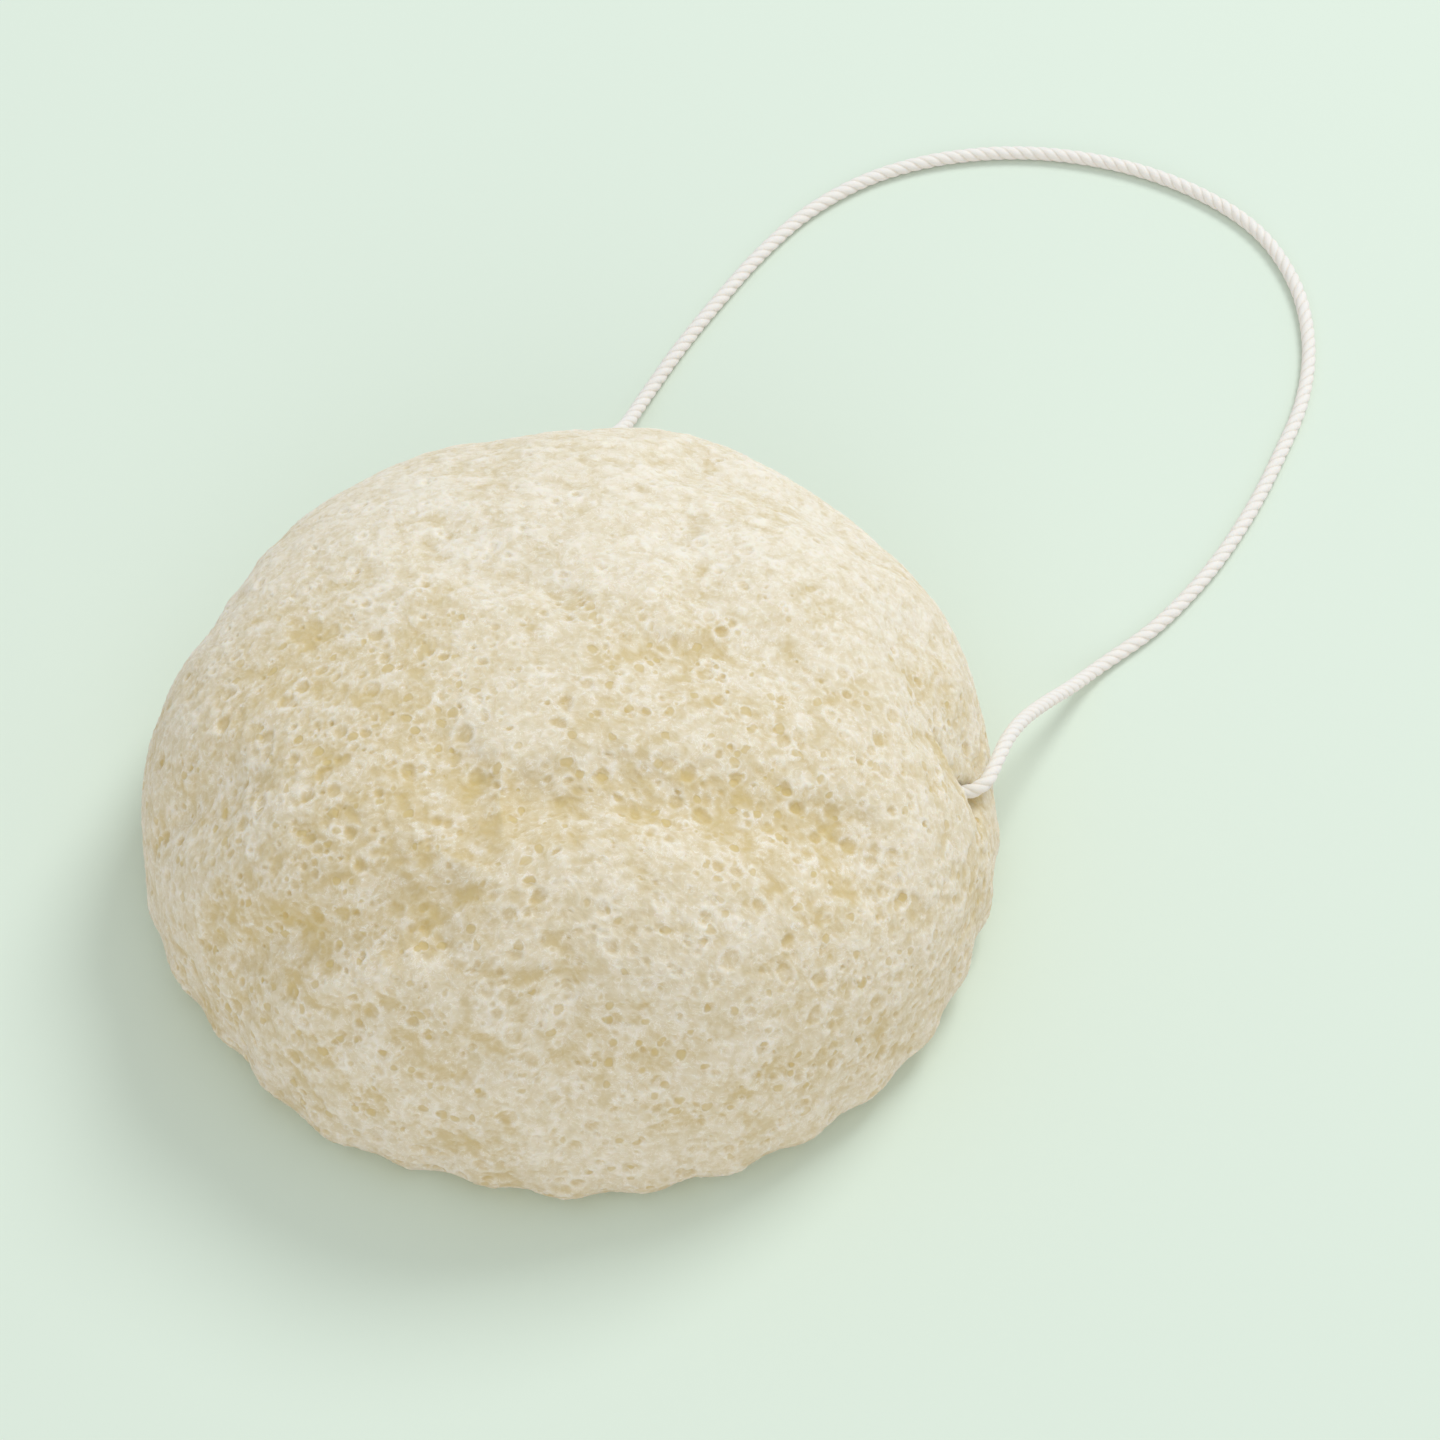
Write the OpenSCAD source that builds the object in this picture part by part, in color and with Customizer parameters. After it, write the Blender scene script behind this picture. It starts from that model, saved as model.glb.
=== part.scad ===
// Konjac sponge: a half-ball puff of konjac fibre on a loop of twisted cotton string.
// The flat face rests on the table at height zero, with the dome above it.
// The string runs straight through the puff from side to side, is tied inside it,
// and leaves through a soft mouth on each side as one free loop towards +Y.

/* [Puff] */
// Width of the puff across its flat face
puff_d = 80; // [72:1:88]
// Height of the dome above the flat face
puff_h = 34.5; // [31:0.5:40]
// Height of the widest line above the flat face
waist_h = 4; // [2:0.5:6]
// How far the foot draws in under the widest line
foot_in = 2.5; // [1:0.25:4]
// Fullness of the crown, where 2 is an ellipse and more is squarer
crown_power = 2.5; // [2:0.05:3]

/* [Rim] */
// Number of small scallops round the foot
scallops = 32; // [24:1:40]
// Depth of one scallop
scallop_depth = 0.7; // [0.2:0.1:1.2]
// Height over which the scallops fade out
scallop_fade = 6; // [3:0.5:10]

/* [Creases and lumps] */
// Depth of the deepest crease
crease_depth = 2.2; // [0.5:0.1:3]
// Half width of a crease
crease_w = 2.6; // [1.5:0.1:4]
// Height of the tallest lump
lump_h = 1.2; // [0.4:0.1:2]
// Half width of a lump
lump_w = 7; // [4:0.5:10]

/* [Pores] */
// Number of open pores over the dome
pore_count = 240; // [40:1:300]
// Radius of the smallest open pore
pore_r_min = 0.7; // [0.5:0.05:0.9]
// Radius of the largest open pore
pore_r_max = 1.5; // [1:0.05:1.8]
// Width of the bare ring kept round each string mouth
pore_margin = 6; // [5:0.5:10]
// Lowest height of a pore above the flat face
pore_floor = 3; // [2:0.5:5]

/* [String] */
// Diameter of the twisted string
string_d = 1.4; // [1:0.1:1.6]
// Clearance between the string and the channel it turns in
run_clearance = 0.05; // [0.02:0.01:0.1]
// Distance of the channel from the middle of the puff
channel_off = 23.8; // [22:0.2:25]
// Height of the channel above the flat face
channel_h = 13.2; // [12:0.2:15]
// Half length of the straight channel, up to where its mouths start
channel_half = 24.7; // [23.5:0.1:25.5]

/* [Mouths] */
// Radius of the rounded edge where the string bends out of the puff
mouth_round = 2; // [1.4:0.1:2.5]
// Extra room round the string where it starts to bend
throat_gap = 0.3; // [0.2:0.05:0.5]
// Reach of the open pit round each mouth, from the middle of the channel
pit_r = 13; // [12:0.5:15]
// Depth of the soft dent that the string presses into the dome at each mouth
dent_depth = 3; // [1:0.1:4]
// Half width of that dent
dent_w = 7; // [4:0.5:9]
// Height of the middle of that dent above the flat face
dent_h = 17.5; // [15:0.5:20]

/* [Knot] */
// Clearance round the knot in its hollow
pocket_gap = 0.5; // [0.3:0.1:1]

/* [Hidden] */
puff_r = puff_d / 2;
string_r = string_d / 2;
bore_r = string_r + run_clearance;

// Points round the puff: three for each scallop
around = 3 * scallops;
// Rings from the foot edge up to the widest line, and from there to the top
foot_rings = 2;
crown_rings = 11;
// Share of the way from top to foot edge at which the widest line lies
waist_share = 0.92;
// Share of a pore's radius by which its middle stands out of the surface
pore_out_share = 0.35;
// Turn from one pore to the next round the dome
golden_angle = 137.508;

// Creases on the flattened dome, each from [x, y] to [x, y] with its share of the full depth
crease_shares = [
    [[0.18, -0.26], [0.34, -0.11], 1],
    [[0.34, -0.11], [0.54, 0.09], 0.9],
    [[-0.10, -0.74], [0.19, -0.49], 0.8],
    [[0.16, -0.36], [0.02, -0.30], 0.5],
    [[-0.26, -0.52], [-0.36, -0.58], 0.8],
    [[0.18, -0.68], [0.34, -0.62], 0.6],
    [[0.60, -0.34], [0.46, -0.44], 0.5],
    [[0.14, 0.10], [0.24, 0.24], 0.5],
    [[-0.10, 0.06], [-0.30, 0.02], 0.4],
    [[-0.42, 0.20], [-0.60, 0.42], 0.15],
    [[-0.18, 0.46], [0.08, 0.60], 0.7],
    [[-0.74, -0.10], [-0.66, -0.30], 0.6],
    [[-0.05, 0.30], [0.10, 0.26], 0.4],
    [[0.30, 0.52], [0.44, 0.40], 0.5],
];
// Lumps on the flattened dome, each [x, y] with its share of the full height, below zero for a hollow
lump_shares = [
    [[0.36, -0.26], 0.9],
    [[0.52, -0.10], 0.6],
    [[0.04, -0.18], 0.4],
    [[-0.33, -0.26], -0.8],
    [[-0.10, -0.52], 0.6],
    [[0.24, -0.56], 0.5],
    [[-0.52, -0.52], 0.5],
    [[-0.62, 0.10], -0.1],
    [[-0.30, 0.62], 0.6],
    [[0.10, 0.40], 0.5],
    [[0.62, 0.24], 0.4],
    [[-0.45, 0.45], 0.5],
    [[0.22, 0.72], 0.5],
    [[0.66, -0.46], -0.4],
    [[-0.13, -0.93], -0.8],
    [[0.46, -0.84], -0.8],
    [[0.86, 0.42], -0.4],
];

// Distance from point p to the stretch from a to b
function stretch_gap(p, a, b) =
    let (ab = b - a)
    let (along = max(0, min(1, ((p - a) * ab) / (ab * ab))))
    norm(p - a - along * ab);

// Bell shape: 1 at the middle, falling off over the given half width
function bell(gap, half_width) = exp(-pow(gap / half_width, 2));

// Radius from the middle of the waist to the crown, at this angle above the waist
function crown_reach(angle) =
    pow(pow(abs(cos(angle)) / puff_r, crown_power) + pow(abs(sin(angle)) / (puff_h - waist_h), crown_power),
        -1 / crown_power);

// Plain dome before any lump: q runs from 0 at the top to 1 at the foot edge
function plain_point(q, turn) =
    let (in_crown = q <= waist_share)
    let (angle = 90 * (1 - min(1, q / waist_share)))
    let (up = (1 - q) / (1 - waist_share))
    let (r = in_crown ? crown_reach(angle) * cos(angle) : puff_r - foot_in * pow(1 - up, 2))
    let (z = in_crown ? waist_h + crown_reach(angle) * sin(angle) : waist_h * up)
    [r * cos(turn), r * sin(turn), z];

// How far the real surface stands off the plain dome at this place
function swell(q, turn, p) =
    let (flat = q * [cos(turn), sin(turn)])
    let (dips = [for (c = crease_shares) c[2] * bell(stretch_gap(flat, c[0], c[1]) * puff_r, crease_w)])
    let (bumps = [for (l = lump_shares) l[1] * bell(norm(flat - l[0]) * puff_r, lump_w)])
    let (rim = cos(scallops * turn) * bell(p[2], scallop_fade) * scallop_depth / 2)
    let (mouth_gap = norm([abs(p[0]) - channel_half - mouth_round, p[1] - channel_off, p[2] - dent_h]))
    lump_h * sum_of(bumps) - crease_depth * max(dips) + rim - dent_depth * bell(mouth_gap, dent_w);

function sum_of(list) = list * [for (item = list) 1];

// Place on the finished dome, moved straight out from the middle of the waist
function dome_point(q, turn) =
    let (p = plain_point(q, turn))
    p + outward(p) * swell(q, turn, p);

function outward(p) =
    let (arm = [p[0], p[1], max(0, p[2] - waist_h)])
    arm / norm(arm);

// Steady but uneven share between 0 and 1 for pore number i
function scatter(i, seed) =
    let (wave = abs(sin(i * 78.233 + seed * 41.7)) * 97.31)
    wave - floor(wave);

// Smooth curve through four neighbouring points, between the middle two
function curve_between(a, b, c, d, t) =
    let (bend = 2 * a - 5 * b + 4 * c - d)
    let (twist = 3 * b - a - 3 * c + d)
    b + ((c - a) * t + bend * pow(t, 2) + twist * pow(t, 3)) / 2;

// Route with extra points between the chosen ones, two for each stretch
function smooth_route(points) =
    let (last = len(points) - 1)
    [
        for (i = [0:last])
            let (before = points[max(0, i - 1)])
            let (after = points[min(last, i + 1)])
            let (beyond = points[min(last, i + 2)])
            for (t = i < last ? [0, 0.5] : [0])
                curve_between(before, points[i], after, beyond, t)
    ];

// Middle line of the free loop, from the left mouth round to the right one.
// Each point is [across, along, lift], where lift is counted from the string lying flat.
loop_route = [
    [-21.9, 23.8, 12.5], [-24.7, 23.8, 12.5], [-26.2, 24.2, 12.5], [-27.4, 25.3, 12.5],
    [-28.1, 26.9, 12.3], [-28.7, 28.8, 11.6], [-29.9, 32.2, 9.0], [-31.8, 36.0, 5.2],
    [-33.8, 40.2, 1.9], [-36.2, 45.6, 0.2], [-38.4, 52.6, 0], [-40.2, 60.2, 0],
    [-41.6, 67.8, 0], [-42.0, 75.2, 0], [-40.6, 82.8, 0], [-37.0, 90.0, 0],
    [-31.4, 96.4, 0], [-24.0, 101.4, 0], [-16.0, 104.2, 0], [-8.0, 104.6, 0],
    [-0.6, 102.0, 0], [5.6, 97.2, 0], [10.2, 91.2, 0], [13.4, 84.4, 0],
    [16.4, 76.6, 0], [18.6, 68.4, 0], [19.6, 60.0, 0], [19.3, 52.0, 0.3],
    [20.3, 46.8, 2.7], [21.6, 41.7, 6.0], [23.2, 36.9, 9.3], [24.75, 33.2, 11.4],
    [26.1, 30.5, 12.4], [27.35, 27.85, 12.75], [27.6, 26.7, 12.7], [27.38, 25.59, 12.6],
    [26.75, 24.65, 12.52], [25.81, 24.02, 12.5], [24.7, 23.8, 12.5], [21.9, 23.8, 12.5],
];

// The knot is two bights hooked through each other. Points are in string diameters from the
// knot's middle: along the channel, across it, and up.
left_bight_shares = [
    [-7.2, 0, 0], [-6.2, 0, 0], [-5.0, 0.1, -0.2], [-3.9, 0.4, -0.5], [-2.6, 0.6, -0.6],
    [-1.2, 1.3, -0.55], [0, 1.75, -0.1], [1.2, 1.7, 0.4], [2.2, 1.15, 0.6], [2.7, 0, 0.65],
    [2.2, -1.15, 0.6], [1.2, -1.7, 0.4], [0, -1.75, -0.1], [-1.2, -1.3, -0.55],
    [-2.6, -0.7, -0.6], [-3.9, -0.8, -0.6], [-5.0, -1.2, -0.5], [-6.0, -1.5, -0.3],
];
right_bight_shares = [
    [7.2, 0, 0], [6.2, 0, 0], [5.0, 0.1, -0.3], [3.8, 0.45, -0.6], [2.6, 0.6, -0.65],
    [1.4, 0.6, -0.4], [0.4, 0.6, 0.1], [-0.6, 0.7, 0.6], [-1.6, 1.1, 0.75], [-2.6, 0.9, 0.75],
    [-3.2, 0, 0.75], [-2.6, -0.9, 0.75], [-1.6, -1.1, 0.75], [-0.6, -0.7, 0.6],
    [0.4, -0.6, 0.1], [1.4, -0.6, -0.4], [2.6, -0.6, -0.65], [3.8, -0.8, -0.6],
    [5.0, -1.2, -0.5], [6.0, -1.5, -0.3],
];
// Reach of the knot from its middle, along the channel and sideways, in string diameters
knot_half_share = 7.2;
knot_side_share = 2.4;
knot_half = knot_half_share * string_d;
pocket_r = knot_side_share * string_d + pocket_gap;
// Length of straight string that the loop keeps inside each end of the channel
loop_lead = 2.8;
run_out = channel_half - loop_lead;

// Angle that the loop swings up from lying flat
swing = 90;
// How far the floor of a mouth's pit falls back for its distance from the channel
pit_fall_share = 0.48;

// Sides of the string's tube
string_sides = 8;

function heading(points, i) =
    let (ahead = points[min(len(points) - 1, i + 1)] - points[max(0, i - 1)])
    ahead / norm(ahead);

// Ring of points round point i, square to the route
function ring_at(points, i) =
    let (forward = heading(points, i))
    let (level = cross(forward, [0, 0, 1]))
    let (side = level / norm(level))
    let (lift = cross(side, forward))
    [for (k = [0:string_sides - 1])
        points[i] + string_r * (cos(k * 360 / string_sides) * side + sin(k * 360 / string_sides) * lift)];

// Solid string through a ring of corners at each of these points
module string_along(points) {
    rings = len(points);
    n = string_sides;
    corners = [for (i = [0:rings - 1]) each ring_at(points, i)];
    start_cap = [[for (k = [0:n - 1]) n - 1 - k]];
    end_cap = [[for (k = [0:n - 1]) (rings - 1) * n + k]];
    skin = [
        for (i = [0:rings - 2])
            for (k = [0:n - 1])
                let (a = i * n + k)
                let (b = i * n + (k + 1) % n)
                each [[a, b, b + n], [a, b + n, a + n]]
    ];
    polyhedron(points = corners, faces = concat(start_cap, skin, end_cap));
}

// Closed dome with its creases, lumps, scalloped foot and flat face
module dome() {
    foot_q = [for (i = [0:foot_rings - 1]) 1 - (1 - waist_share) * i / foot_rings];
    crown_q = [for (i = [0:crown_rings - 1]) waist_share * (1 - i / crown_rings)];
    ring_q = concat(foot_q, crown_q);
    last = len(ring_q) - 1;
    n = around;
    sides = [for (q = ring_q) for (k = [0:n - 1]) dome_point(q, k * 360 / n)];
    top = len(sides);
    flat_face = [[for (k = [0:n - 1]) k]];
    skin = [
        for (i = [0:last - 1])
            for (k = [0:n - 1])
                let (a = i * n + k)
                let (b = i * n + (k + 1) % n)
                each [[a, a + n, b + n], [a, b + n, b]]
    ];
    cap = [for (k = [0:n - 1]) [last * n + k, top, last * n + (k + 1) % n]];
    polyhedron(points = concat(sides, [dome_top()]), faces = concat(flat_face, skin, cap));
}

function dome_top() =
    let (p = [0, 0, puff_h])
    p + [0, 0, 1] * swell(0, 0, p);

// Straight round channel from side to side, with the hollow for the knot in its middle
module channel() {
    translate([0, channel_off, channel_h])
        rotate([0, 90, 0]) {
            cylinder(r = bore_r, h = 2 * puff_r, center = true, $fn = 48);
            cylinder(r = pocket_r, h = 2 * (knot_half + pocket_gap), center = true, $fn = 48);
        }
}

// Throat round the string, and a pit on the side where it bends away and swings: a quarter turn
// from lying flat to standing up, with a straight slot as wide as the throat at both ends
module mouth() {
    reach = puff_r - channel_half;
    throat_r = bore_r + throat_gap;
    throat_start = mouth_round / 2;
    round_edge = [
        for (a = [30:15:90])
            [bore_r + mouth_round * (1 - cos(a)), mouth_round * sin(a)]
    ];
    pit_floor = mouth_round - pit_fall_share * (pit_r - bore_r - mouth_round);
    pit = concat([[0, throat_start]], round_edge, [[pit_r, pit_floor], [pit_r, reach], [0, reach]]);
    translate([channel_half, channel_off, channel_h])
        rotate([0, 90, 0]) {
            cylinder(r1 = bore_r, r2 = throat_r, h = throat_start, $fn = 48);
            translate([0, 0, throat_start]) cylinder(r = throat_r, h = reach, $fn = 48);
            rotate([0, 0, 90]) rotate_extrude(angle = swing, $fn = 64) polygon(pit);
            for (end = [90, 90 + swing])
                rotate([90, 0, end]) linear_extrude(height = 2 * throat_r, center = true) polygon(pit);
        }
}

module pores() {
    for (i = [0:pore_count - 1]) {
        q = pow((i + 0.5) / pore_count, 0.45);
        turn = i * golden_angle + 16 * (scatter(i, 1) - 0.5);
        r = pore_r_min + (pore_r_max - pore_r_min) * pow(scatter(i, 2), 2);
        p = dome_point(q, turn);
        mouth_gap = norm([abs(p[0]) - channel_half - mouth_round, p[1] - channel_off, p[2] - channel_h]);
        if (p[2] > pore_floor + r && mouth_gap > pore_margin + r)
            translate(p + outward(p) * pore_out_share * r)
                sphere(r = r, $fn = 20);
    }
}

// Dome with the string's way through it, before its pores
module cored_dome() {
    difference() {
        dome();
        channel();
        mouth();
        mirror([1, 0, 0]) mouth();
    }
}

module puff() {
    color("#EFE7D0")
        difference() {
            cored_dome();
            pores();
        }
}

module string_loop() {
    lying = [for (p = smooth_route(loop_route)) [p[0], p[1], max(0, p[2]) + string_r]];
    color("#F4EFE8") string_along(lying);
}

// Straight stretch of string in the channel, on the right side
module straight_run() {
    translate([knot_half, channel_off, channel_h])
        rotate([0, 90, 0])
            cylinder(r = string_r, h = run_out - knot_half, $fn = 48);
}

module string_run_right() {
    color("#F4EFE8") straight_run();
}

module string_run_left() {
    color("#F4EFE8") mirror([1, 0, 0]) straight_run();
}

module bight(shares) {
    translate([0, channel_off, channel_h])
        string_along(smooth_route([for (s = shares) s * string_d]));
}

module knot_left_bight() {
    color("#EDE6DA") bight(left_bight_shares);
}

module knot_right_bight() {
    color("#EDE6DA") bight(right_bight_shares);
}

puff();
string_loop();
string_run_left();
string_run_right();
knot_left_bight();
knot_right_bight();
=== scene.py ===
import itertools
import math

import bpy
import numpy as np
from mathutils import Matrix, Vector


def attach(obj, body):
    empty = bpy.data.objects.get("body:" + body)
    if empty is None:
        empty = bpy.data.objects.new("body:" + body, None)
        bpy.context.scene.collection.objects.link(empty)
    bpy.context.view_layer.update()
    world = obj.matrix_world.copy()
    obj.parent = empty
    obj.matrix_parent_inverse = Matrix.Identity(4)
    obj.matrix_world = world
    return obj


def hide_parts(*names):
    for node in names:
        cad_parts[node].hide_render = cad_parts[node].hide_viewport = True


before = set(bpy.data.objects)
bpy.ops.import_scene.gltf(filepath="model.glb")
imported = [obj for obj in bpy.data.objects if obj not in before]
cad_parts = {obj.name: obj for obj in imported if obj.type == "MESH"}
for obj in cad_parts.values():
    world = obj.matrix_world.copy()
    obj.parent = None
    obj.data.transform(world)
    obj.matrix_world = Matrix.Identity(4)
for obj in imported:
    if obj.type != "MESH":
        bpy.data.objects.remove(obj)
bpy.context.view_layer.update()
mm = 0.001
scene = bpy.context.scene

cameraPlan = {
    "aim": (-2.52, 22.13, 0.0),   # point of the table in the middle of the picture, in mm
    "azimuth": 45.0,
    "elevation": 51.95,
    "distance": 700.0,            # mm from that point
    "seenWidth": 138.29,          # mm of the picture's width at that distance
    "sensor": 36.0,
    "clip": (0.01, 20.0),         # metres
}


def makeCamera(plan):
    turn, rise = math.radians(plan["azimuth"]), math.radians(plan["elevation"])
    back = Vector((math.sin(turn) * math.cos(rise), -math.cos(turn) * math.cos(rise),
                   math.sin(rise)))
    data = bpy.data.cameras.new("camera")
    data.sensor_width = plan["sensor"]
    data.lens = plan["sensor"] * plan["distance"] / plan["seenWidth"]
    data.clip_start, data.clip_end = plan["clip"]
    camera = bpy.data.objects.new("camera", data)
    scene.collection.objects.link(camera)
    camera.location = (Vector(plan["aim"]) + back * plan["distance"]) * mm
    camera.rotation_euler = (-back).to_track_quat("-Z", "Y").to_euler()
    scene.camera = camera


makeCamera(cameraPlan)
print("camera placed")


def meshFromArrays(name, corners, quads, triangles=None):
    # corners in mm become vertices in metres; quads and triangles are rows of vertex numbers
    triangles = np.zeros((0, 3), int) if triangles is None else triangles
    mesh = bpy.data.meshes.new(name)
    mesh.vertices.add(len(corners))
    mesh.vertices.foreach_set("co", (corners * mm).astype(np.float32).ravel())
    mesh.loops.add(quads.size + triangles.size)
    around = np.concatenate([quads.ravel(), triangles.ravel()])
    mesh.loops.foreach_set("vertex_index", around.astype(np.int32))
    mesh.polygons.add(len(quads) + len(triangles))
    starts = np.concatenate([np.arange(len(quads)) * 4,
                             quads.size + np.arange(len(triangles)) * 3])
    mesh.polygons.foreach_set("loop_start", starts.astype(np.int32))
    mesh.update(calc_edges=True)
    mesh.validate()
    mesh.shade_smooth()
    return mesh


def addValue(mesh, name, values):
    attribute = mesh.attributes.new(name, "FLOAT", "POINT")
    attribute.data.foreach_set("value", values.astype(np.float32))


def addUv(mesh, name, places):
    # places holds one pair for each corner of a face, in the order of the mesh's loops
    mesh.uv_layers.new(name=name).uv.foreach_set("vector", places.astype(np.float32).ravel())


def placePiece(name, mesh, material, body, slot, *nodes):
    piece = bpy.data.objects.new(name, mesh)
    scene.collection.objects.link(piece)
    mesh.materials.append(material)
    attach(piece, body)
    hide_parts(*nodes)
    return piece


def gridPairs(first, second):
    # every pair of a number from the first row and one from the second, as two long rows
    return (grid.ravel() for grid in np.meshgrid(first, second, indexing="ij"))


# large odd numbers that stir whole ones: one for each axis of space, one for the seed, two to mix
axisPrimes = (73856093, 19349663, 83492791)
seedPrime, firstStir, secondStir = 2654435761, 2246822519, 3266489917
lowBits = 2 ** 32 - 1


def shareOf(mixed):
    # whole numbers stirred into uneven numbers from 0 to 1, by folding and multiplying their bits
    mixed = mixed & lowBits
    mixed = (mixed ^ (mixed >> 15)) * firstStir & lowBits
    mixed = (mixed ^ (mixed >> 13)) * secondStir & lowBits
    return (mixed ^ (mixed >> 16)) / (lowBits + 1)


def latticeShare(cell, seed):
    # a fixed but uneven number from 0 to 1 for each whole-number cell of space
    x, y, z = (cell[:, axis] * prime for axis, prime in enumerate(axisPrimes))
    return shareOf(x ^ y ^ z ^ (seed * seedPrime))


def latticePoint(cell, seed):
    # three such numbers for each cell, the place of a point in it
    return np.stack([latticeShare(cell, seed + k) for k in range(3)], axis=1)


def smoothField(places, size, seed):
    # uneven numbers on a lattice of this size, eased and mixed between its eight corners, -1 to 1
    shares, keys = [], []
    for axis, prime in enumerate(axisPrimes):
        scaled = places[:, axis] / size
        cell = np.floor(scaled)
        part = scaled - cell
        ease = part * part * part * (part * (part * 6 - 15) + 10)
        low = cell.astype(np.int64) * prime
        shares.append((1 - ease, ease))
        keys.append((low, low + prime))
    total = np.zeros(len(places))
    for i, j, k in itertools.product((0, 1), repeat=3):
        mixed = keys[0][i] ^ keys[1][j] ^ keys[2][k] ^ (seed * seedPrime)
        total += shares[0][i] * shares[1][j] * shares[2][k] * shareOf(mixed)
    return total * 2 - 1


def layeredField(places, size, layers, seed, fall=0.5):
    # the smooth field summed over layers, each half as large and fall times as strong as the last
    total, weight = np.zeros(len(places)), 0.0
    for layer in range(layers):
        total += smoothField(places, size / 2 ** layer, seed + layer) * fall ** layer
        weight += fall ** layer
    return total / weight


def warp(places, size, reach, seed):
    # each place moved by up to reach along three smooth fields
    pushes = [layeredField(places, size, 2, seed + 10 * k) for k in range(3)]
    return places + reach * np.stack(pushes, axis=1)


def riseAt(values, middle, blend):
    # eased from 0 to 1 round the middle, as 1 over 1 plus e to the minus gap over blend
    return 1 / (1 + np.exp(-(values - middle) / blend))


stringPlan = {
    "diameter": 1.4,        # mm over the three plies
    "groove": 0.13,         # mm from the plies' crowns down to the grooves between them
    "layLength": 3.7,       # mm in which one ply goes once round
    "plies": 3,
    "lobePower": 0.75,      # lower makes the plies fuller
    "aroundPoints": 42,
    "ringGap": 0.14,        # mm between two rings
    "lift": 0.7,            # mm from the table to the middle of a string lying flat
    "loopColumns": 16, "innerColumns": 5,     # columns that the strip is cut into for the bake
    "runEnd": 21.9,         # mm from the middle, where a hidden run meets the free loop
    # the bake's map, in shares of a column: the margin beside the strip and the strip's width,
    # the margin below it and its height, and the point that takes the two end caps
    "bakeAcross": (0.04, 0.92), "bakeDown": (0.01, 0.97), "bakeCap": 0.001,
}
channelOff, channelHeight = 23.8, 13.2      # the channel's place in the puff, in mm

# free loop from the left mouth round to the right one: across, along, and lift above lying flat
loopRoute = [
    (-21.9, 23.8, 12.5), (-24.7, 23.8, 12.5), (-26.2, 24.2, 12.5), (-27.4, 25.3, 12.5),
    (-28.1, 26.9, 12.3), (-28.7, 28.8, 11.6), (-29.9, 32.2, 9.0), (-31.8, 36.0, 5.2),
    (-33.8, 40.2, 1.9), (-36.2, 45.6, 0.2), (-38.4, 52.6, 0), (-40.2, 60.2, 0),
    (-41.6, 67.8, 0), (-42.0, 75.2, 0), (-40.6, 82.8, 0), (-37.0, 90.0, 0),
    (-31.4, 96.4, 0), (-24.0, 101.4, 0), (-16.0, 104.2, 0), (-8.0, 104.6, 0),
    (-0.6, 102.0, 0), (5.6, 97.2, 0), (10.2, 91.2, 0), (13.4, 84.4, 0),
    (16.4, 76.6, 0), (18.6, 68.4, 0), (19.6, 60.0, 0), (19.3, 52.0, 0.3),
    (20.3, 46.8, 2.7), (21.6, 41.7, 6.0), (23.2, 36.9, 9.3), (24.75, 33.2, 11.4),
    (26.1, 30.5, 12.4), (27.35, 27.85, 12.75), (27.6, 26.7, 12.7), (27.38, 25.59, 12.6),
    (26.75, 24.65, 12.52), (25.81, 24.02, 12.5), (24.7, 23.8, 12.5), (21.9, 23.8, 12.5),
]
# the knot's two bights, in string diameters from its middle: along the channel, across it, and up
leftBight = [
    (-7.2, 0, 0), (-6.2, 0, 0), (-5.0, 0.1, -0.2), (-3.9, 0.4, -0.5), (-2.6, 0.6, -0.6),
    (-1.2, 1.3, -0.55), (0, 1.75, -0.1), (1.2, 1.7, 0.4), (2.2, 1.15, 0.6), (2.7, 0, 0.65),
    (2.2, -1.15, 0.6), (1.2, -1.7, 0.4), (0, -1.75, -0.1), (-1.2, -1.3, -0.55),
    (-2.6, -0.7, -0.6), (-3.9, -0.8, -0.6), (-5.0, -1.2, -0.5), (-6.0, -1.5, -0.3),
]
rightBight = [
    (7.2, 0, 0), (6.2, 0, 0), (5.0, 0.1, -0.3), (3.8, 0.45, -0.6), (2.6, 0.6, -0.65),
    (1.4, 0.6, -0.4), (0.4, 0.6, 0.1), (-0.6, 0.7, 0.6), (-1.6, 1.1, 0.75), (-2.6, 0.9, 0.75),
    (-3.2, 0, 0.75), (-2.6, -0.9, 0.75), (-1.6, -1.1, 0.75), (-0.6, -0.7, 0.6),
    (0.4, -0.6, 0.1), (1.4, -0.6, -0.4), (2.6, -0.6, -0.65), (3.8, -0.8, -0.6),
    (5.0, -1.2, -0.5), (6.0, -1.5, -0.3),
]


def smoothRoute(points, gap, steps=24, leastRings=8):
    # cubic curve through the points whose slope at each is half the step between its neighbours,
    # laid out again at an even gap
    points = np.array(points, float)
    t = np.linspace(0, 1, steps, endpoint=False)[None, :, None]
    padded = np.concatenate([points[:1], points, points[-1:], points[-1:]])
    a, b, c, d = (padded[k:k + len(points)][:, None, :] for k in range(4))
    curve = b + ((c - a) * t + (2 * a - 5 * b + 4 * c - d) * t ** 2
                 + (3 * b - a - 3 * c + d) * t ** 3) / 2
    curve = curve[:-1].reshape(-1, 3)
    curve = np.concatenate([curve, points[-1:]])
    along = np.concatenate([[0], np.cumsum(np.linalg.norm(np.diff(curve, axis=0), axis=1))])
    even = np.linspace(0, along[-1], max(leastRings, int(round(along[-1] / gap)) + 1))
    return np.stack([np.interp(even, along, curve[:, k]) for k in range(3)], axis=1), even


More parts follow.
